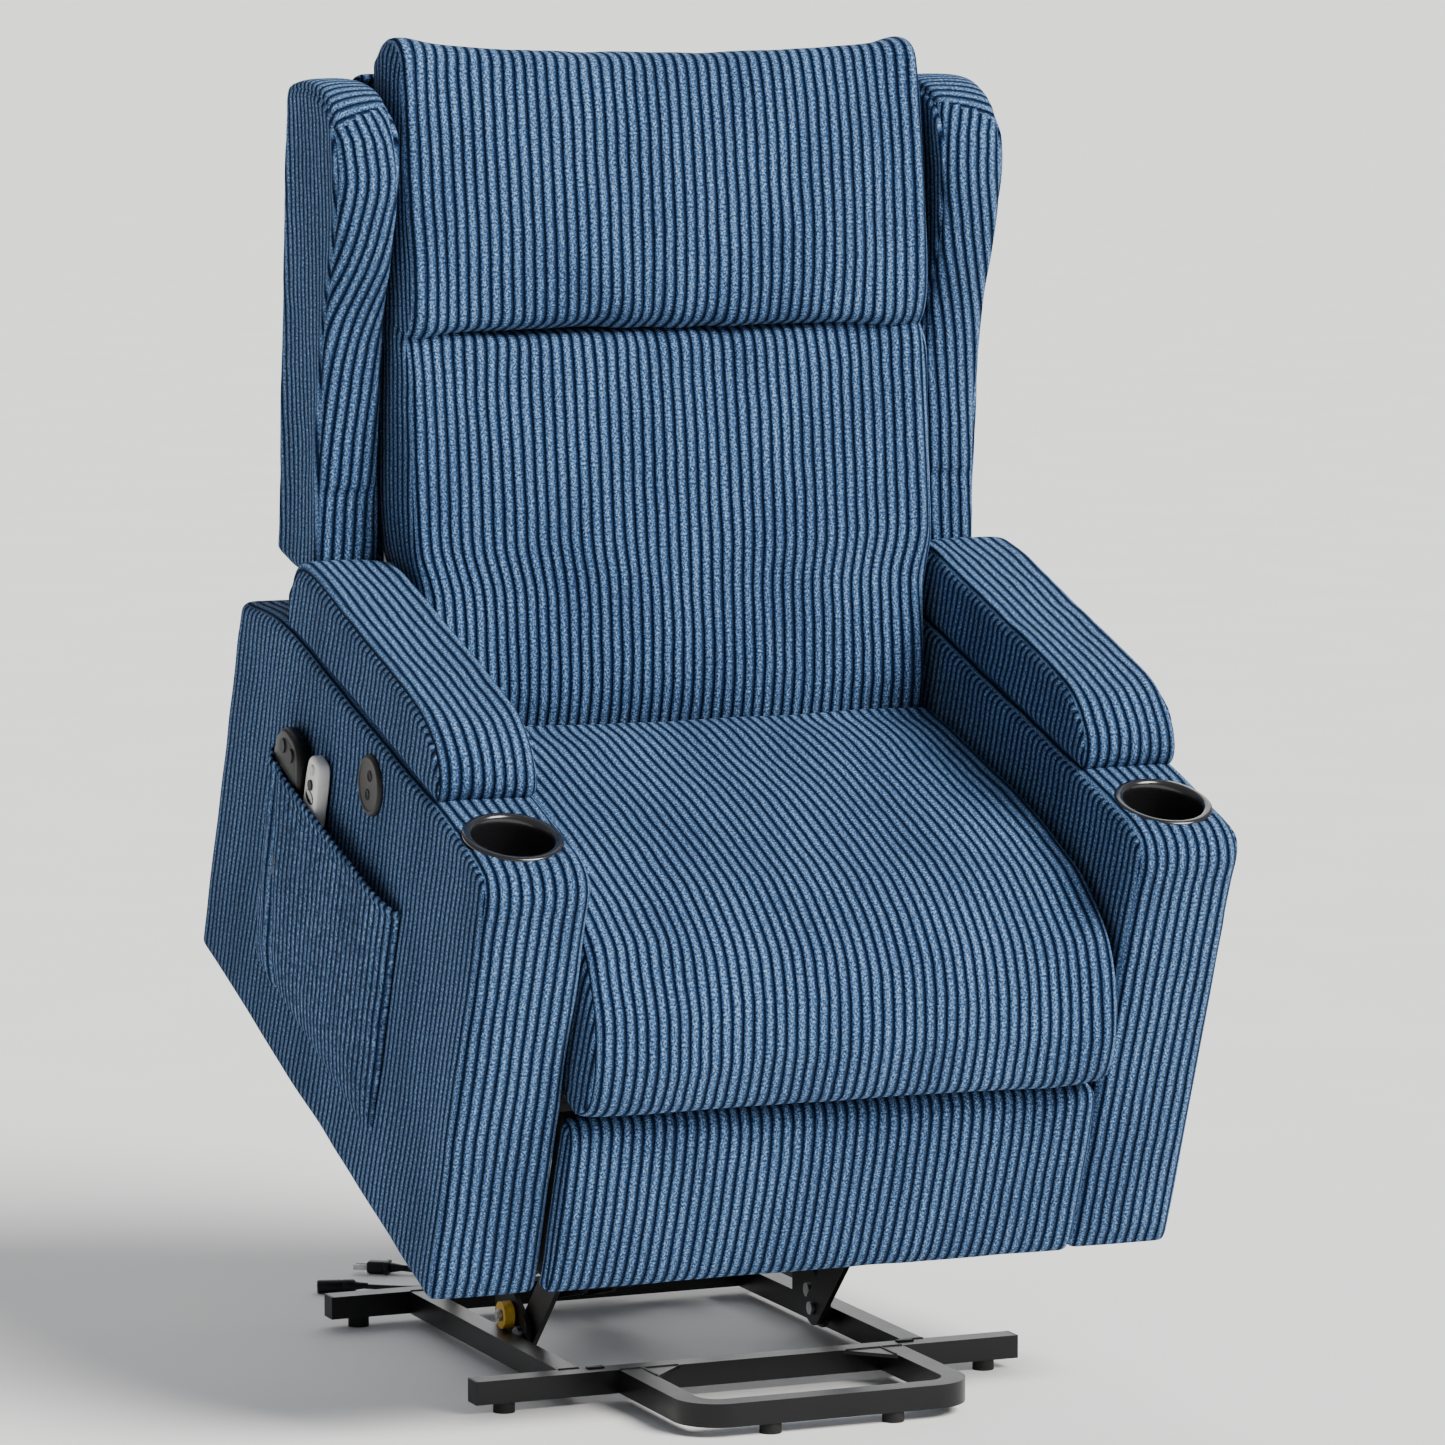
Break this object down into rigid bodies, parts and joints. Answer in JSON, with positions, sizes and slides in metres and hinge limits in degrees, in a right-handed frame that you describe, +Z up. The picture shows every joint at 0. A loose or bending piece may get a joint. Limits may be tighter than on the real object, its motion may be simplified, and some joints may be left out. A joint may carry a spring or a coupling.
{
  "type": "power lift recliner chair",
  "caption": "Powered lift recliner armchair in blue ribbed corduroy, raised on its steel lift base, with a legrest, wings, cup holders and side pockets",
  "frame": {"origin": "on the floor, under the middle of the chair's box without its leads", "axes": "+X across the chair to the sitter's left as seen from the front's right side, +Y from the footrest to the back, +Z up"},
  "size_m": [0.918, 1.1367, 1.4845],
  "materials": {
    "corduroy": "velvety wide-wale corduroy, ribs about 12 mm apart",
    "black_steel": "satin black powder coat",
    "black_plastic": "fine moulded grain",
    "foot_rubber": "matt",
    "lead_sheath": "smooth matt PVC",
    "roller_yellow": "moulded nylon",
    "bright_steel": "zinc plated",
    "board": "plywood and softwood",
    "webbing": "woven elastic strap",
    "port_grey": "satin moulded",
    "handset_charcoal": "satin moulded",
    "remote_white": "satin moulded",
    "key_dark": "silicone",
    "key_light": "silicone",
    "cup_gloss": "polished"
  },
  "bodies": {
    "base": {"front_tube": "black_steel", "rear_tube": "black_steel", "side_rails": "black_steel", "front_loop": "black_steel", "tube_end_caps": "black_plastic", "rubber_feet": "foot_rubber", "base_plates": "black_steel", "base_pivot_bolts": "bright_steel", "power_box": "black_plastic", "lead_glands": "black_plastic", "mains_lead": "lead_sheath", "mains_lead_coil": "lead_sheath", "mains_plug": "black_plastic", "socket_lead": "lead_sheath", "socket_connector": "black_plastic"},
    "left_roller": {"left_roller_tyre": "roller_yellow", "left_roller_hub": "bright_steel"},
    "right_roller": {"right_roller_tyre": "roller_yellow", "right_roller_hub": "bright_steel"},
    "main_links": {"main_links": "black_steel"},
    "rear_links": {"rear_links": "black_steel"},
    "lift_motor": {"lift_motor": "black_plastic"},
    "lift_rod": {"lift_rod": "bright_steel"},
    "chair": {"chassis_tubes": "black_steel", "chassis_brackets": "black_steel", "side_plates": "black_steel", "seat_frame": "board", "seat_webbing": "webbing", "chair_bolts": "bright_steel", "left_arm_cover": "corduroy", "right_arm_cover": "corduroy", "arm_frames": "board", "left_arm_pad": "corduroy", "right_arm_pad": "corduroy", "left_cup_holder": "cup_gloss", "right_cup_holder": "cup_gloss", "left_pocket": "corduroy", "right_pocket": "corduroy", "power_port": "port_grey", "seat_cushion": "corduroy", "handset": "handset_charcoal", "remote": "remote_white"},
    "handset_key_up": {"handset_key_up": "key_dark"},
    "handset_key_down": {"handset_key_down": "key_dark"},
    "remote_key_power": {"remote_key_power": "key_light"},
    "remote_key_mode": {"remote_key_mode": "key_light"},
    "recline_motor": {"recline_motor": "black_plastic"},
    "recline_rod": {"recline_rod": "bright_steel"},
    "legrest_upper": {"legrest_upper_links": "black_steel"},
    "legrest_lower": {"legrest_lower_links": "black_steel"},
    "legrest": {"legrest_brackets": "black_steel", "legrest_board": "board", "legrest_cushion": "corduroy"},
    "backrest": {"back_frame": "black_steel", "back_webbing": "webbing", "lumbar_cushion": "corduroy", "head_cushion": "corduroy", "left_wing": "corduroy", "right_wing": "corduroy", "outside_back": "corduroy"}
  },
  "joints": [
    {"name": "main_link_swing", "type": "hinge", "parent": "base", "child": "main_links", "pos_m": [0, 0.0883, 0.038], "axis": [1, 0, 0], "range_deg": [0, 37.02]},
    {"name": "chair_lift", "type": "hinge", "parent": "main_links", "child": "chair", "pos_m": [0, -0.12383, 0.25013], "axis": [1, 0, 0], "range_deg": [-57.45, 0]},
    {"name": "rear_link_swing", "type": "hinge", "parent": "base", "child": "rear_links", "pos_m": [0, 0.3603, 0.14928], "axis": [1, 0, 0], "range_deg": [0, 46.92]},
    {"name": "lift_motor_swing", "type": "hinge", "parent": "base", "child": "lift_motor", "pos_m": [-0.02, 0.2703, 0.05], "axis": [1, 0, 0], "range_deg": [0, 20.25]},
    {"name": "lift_rod_slide", "type": "slide", "parent": "lift_motor", "child": "lift_rod", "axis": [0, -0.6513, 0.7588], "range_m": [-0.11331, 0]},
    {"name": "legrest_raise", "type": "hinge", "parent": "chair", "child": "legrest_upper", "pos_m": [0, -0.25751, 0.38983], "axis": [1, 0, 0], "range_deg": [-131.57, 0]},
    {"name": "legrest_elbow", "type": "hinge", "parent": "legrest_upper", "child": "legrest_lower", "pos_m": [0, -0.08729, 0.30541], "axis": [1, 0, 0], "range_deg": [0, 89.27]},
    {"name": "legrest_panel_turn", "type": "hinge", "parent": "legrest_lower", "child": "legrest", "pos_m": [0, -0.2695, 0.23594], "axis": [1, 0, 0], "range_deg": [-45.7, 0]},
    {"name": "backrest_recline", "type": "hinge", "parent": "chair", "child": "backrest", "pos_m": [0, 0.22813, 0.66164], "axis": [1, 0, 0], "range_deg": [-42, 0]},
    {"name": "recline_motor_swing", "type": "hinge", "parent": "chair", "child": "recline_motor", "pos_m": [0.075, -0.18859, 0.31948], "axis": [1, 0, 0], "range_deg": [0, 5.55]},
    {"name": "recline_rod_slide", "type": "slide", "parent": "recline_motor", "child": "recline_rod", "axis": [0, 0.8824, 0.4704], "range_m": [-0.0608, 0]},
    {"name": "left_roller_spin", "type": "hinge", "parent": "base", "child": "left_roller", "pos_m": [-0.194, 0.1123, 0.0545], "axis": [1, 0, 0], "continuous": true},
    {"name": "right_roller_spin", "type": "hinge", "parent": "base", "child": "right_roller", "pos_m": [0.194, 0.1123, 0.0545], "axis": [1, 0, 0], "continuous": true},
    {"name": "handset_key_up_press", "type": "slide", "parent": "chair", "child": "handset_key_up", "axis": [1, 0, 0], "range_m": [0, 0.0015], "stiffness_N_per_m": 400, "springref_m": -0.001},
    {"name": "handset_key_down_press", "type": "slide", "parent": "chair", "child": "handset_key_down", "axis": [1, 0, 0], "range_m": [0, 0.0015], "stiffness_N_per_m": 400, "springref_m": -0.001},
    {"name": "remote_key_power_press", "type": "slide", "parent": "chair", "child": "remote_key_power", "axis": [1, 0, 0], "range_m": [0, 0.0015], "stiffness_N_per_m": 400, "springref_m": -0.001},
    {"name": "remote_key_mode_press", "type": "slide", "parent": "chair", "child": "remote_key_mode", "axis": [1, 0, 0], "range_m": [0, 0.0015], "stiffness_N_per_m": 400, "springref_m": -0.001}
  ],
  "couplings": [
    {"joint": "main_link_swing", "follows": "chair_lift", "ratio": -0.64404},
    {"joint": "rear_link_swing", "follows": "chair_lift", "ratio": -0.8158},
    {"joint": "lift_motor_swing", "follows": "chair_lift", "ratio": -0.3516},
    {"joint": "lift_rod_slide", "follows": "chair_lift", "m_per_rad": 0.1128},
    {"joint": "legrest_elbow", "follows": "legrest_raise", "ratio": -0.67812},
    {"joint": "legrest_panel_turn", "follows": "legrest_raise", "ratio": 0.34696},
    {"joint": "recline_motor_swing", "follows": "backrest_recline", "ratio": -0.13102},
    {"joint": "recline_rod_slide", "follows": "backrest_recline", "m_per_rad": 0.08267}
  ]
}
